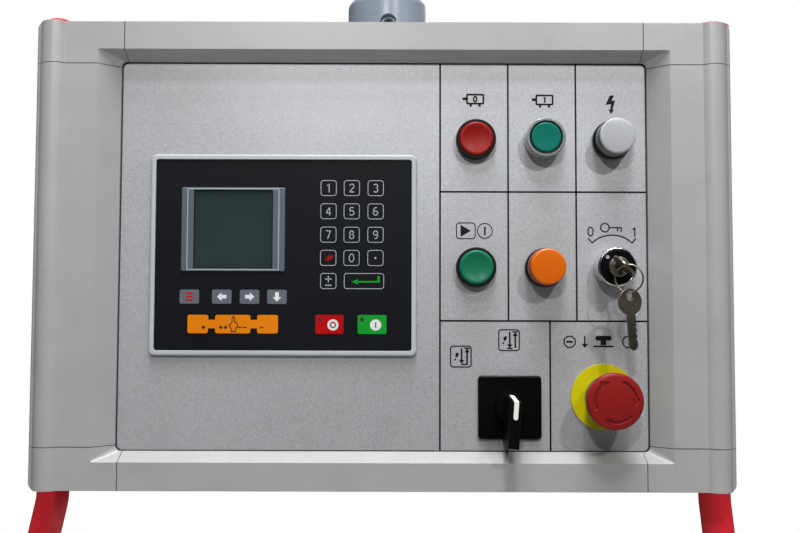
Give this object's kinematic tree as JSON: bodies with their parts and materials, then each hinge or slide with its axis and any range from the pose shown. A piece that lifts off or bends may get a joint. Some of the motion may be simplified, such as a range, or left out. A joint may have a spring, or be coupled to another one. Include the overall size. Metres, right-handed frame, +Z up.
{
  "type": "press brake control pendant",
  "caption": "Framed operator pendant for a press brake: controller, pushbuttons, lamps, key switch, selector, stop button, grab handles and an arm coupling.",
  "frame": {"origin": "centre of the arm socket mouth, on the arm tube axis", "axes": "+X to the operator right, -Y towards the operator, +Z up along the arm tube"},
  "size_m": [0.5762, 0.1752, 0.5769],
  "materials": {
    "frame_paint": "warm light grey fine-texture powder coat",
    "case_paint": "warm grey powder coat",
    "panel_aluminium": "satin silver with fine speckle and printed black lines",
    "gasket_rubber": "matt black",
    "zinc_steel": "zinc plated",
    "black_steel": "blackened",
    "coupling_paint": "blue-grey gloss enamel",
    "handle_red": "gloss red coating",
    "cap_red": "gloss red moulding",
    "bezel_grey": "satin light grey moulding",
    "overlay_black": "satin black printed film",
    "lcd_grey": "satin blue-grey",
    "lcd_glass": "dark display window",
    "housing_black": "moulded",
    "board_green": "solder mask",
    "plug_green": "moulded",
    "device_black": "satin black moulding",
    "button_red": "satin red",
    "button_green": "satin green",
    "button_teal": "translucent teal",
    "collar_clear": "smoky translucent",
    "lens_white": "opal",
    "lens_amber": "amber opal",
    "bulb_glass": "clear",
    "lock_chrome": "bright",
    "key_nickel": "worn nickel plate",
    "selector_black": "satin black",
    "disc_yellow": "satin yellow",
    "estop_red": "satin red",
    "collar_grey": "ribbed dark grey"
  },
  "bodies": {
    "arm": {"arm_socket": "coupling_paint", "retaining_ring": "black_steel", "arm_clamp_screws": "black_steel"},
    "case": {"frame_left_stile": "frame_paint", "frame_right_stile": "frame_paint", "frame_top_rail": "frame_paint", "frame_bottom_rail": "frame_paint", "corner_top_left": "frame_paint", "corner_top_right": "frame_paint", "corner_bottom_left": "frame_paint", "corner_bottom_right": "frame_paint", "panel_gasket": "gasket_rubber", "front_panel": "panel_aluminium", "panel_clips": "zinc_steel", "case_shell": "case_paint", "frame_screws": "zinc_steel", "rear_cover_gasket": "gasket_rubber", "rear_cover": "case_paint", "rear_cover_screws": "zinc_steel", "coupling_gasket": "gasket_rubber", "coupling_drum": "coupling_paint", "swivel_lock_screw": "black_steel", "coupling_screws": "black_steel", "handle_left": "handle_red", "handle_right": "handle_red", "handle_caps": "cap_red", "handle_brackets": "case_paint", "bracket_screws": "zinc_steel", "controller_bezel": "bezel_grey", "controller_overlay": "overlay_black", "lcd_frame": "lcd_grey", "lcd_window": "lcd_glass", "controller_housing": "housing_black", "controller_board": "board_green", "terminal_plugs": "plug_green", "controller_clamps": "housing_black", "device_nuts": "device_black", "contact_blocks": "device_black", "button_bezels": "device_black", "lit_button_collar": "collar_clear", "lamp_bases": "device_black", "white_lens": "lens_white", "amber_lens": "lens_amber", "lamp_bulbs": "bulb_glass", "lock_bezel": "lock_chrome", "lock_face": "selector_black", "selector_plate": "selector_black", "selector_body": "device_black", "estop_disc": "disc_yellow", "estop_collar": "collar_grey"},
    "motor_off_button": {"motor_off_cap": "button_red"},
    "motor_on_button": {"motor_on_cap": "button_teal"},
    "start_button": {"start_cap": "button_green"},
    "stop_stem": {"estop_stem": "device_black"},
    "stop_head": {"estop_head": "estop_red"},
    "mode_handle": {"selector_handle": "selector_black"},
    "lock_cylinder": {"lock_barrel": "key_nickel"},
    "key": {"switch_key": "key_nickel"},
    "ring": {"key_ring": "key_nickel"},
    "spare": {"spare_key": "key_nickel"}
  },
  "joints": [
    {"name": "pendant_swivel", "type": "hinge", "parent": "arm", "child": "case", "pos_m": [0, 0, -0.0684], "axis": [0, 0, 1], "range_deg": [-150, 150]},
    {"name": "motor_off_press", "type": "slide", "parent": "case", "child": "motor_off_button", "axis": [0, 1, 0], "range_m": [0, 0.004], "stiffness_N_per_m": 1000, "springref_m": -0.002},
    {"name": "motor_on_press", "type": "slide", "parent": "case", "child": "motor_on_button", "axis": [0, 1, 0], "range_m": [0, 0.004], "stiffness_N_per_m": 1000, "springref_m": -0.002},
    {"name": "start_press", "type": "slide", "parent": "case", "child": "start_button", "axis": [0, 1, 0], "range_m": [0, 0.004], "stiffness_N_per_m": 1000, "springref_m": -0.002},
    {"name": "stop_push", "type": "slide", "parent": "case", "child": "stop_stem", "axis": [0, 1, 0], "range_m": [0, 0.005]},
    {"name": "stop_twist", "type": "hinge", "parent": "stop_stem", "child": "stop_head", "pos_m": [0.163, -0.0971, -0.3924], "axis": [0, 1, 0], "range_deg": [0, 45], "stiffness_Nm_per_rad": 0.15, "springref_deg": -5.73},
    {"name": "mode_select", "type": "hinge", "parent": "case", "child": "mode_handle", "pos_m": [0.0924, -0.0771, -0.4002], "axis": [0, -1, 0], "range_deg": [0, 45]},
    {"name": "key_turn", "type": "hinge", "parent": "case", "child": "lock_cylinder", "pos_m": [0.1704, -0.0771, -0.2956], "axis": [0, 1, 0], "range_deg": [0, 90]},
    {"name": "key_pull", "type": "slide", "parent": "lock_cylinder", "child": "key", "axis": [0, -1, 0], "range_m": [0, 0.026]},
    {"name": "ring_hang", "type": "hinge", "parent": "key", "child": "ring", "pos_m": [0.1704, -0.1181, -0.2956], "axis": [0, 1, 0], "range_deg": [-61, 0]},
    {"name": "spare_key_hang", "type": "hinge", "parent": "ring", "child": "spare", "pos_m": [0.17278, -0.11897, -0.30507], "axis": [0.342, 0.9397, 0], "range_deg": [-31, 0]}
  ],
  "couplings": [
    {"joint": "ring_hang", "follows": "key_turn", "ratio": -0.6667},
    {"joint": "spare_key_hang", "follows": "key_turn", "ratio": -0.3333}
  ]
}
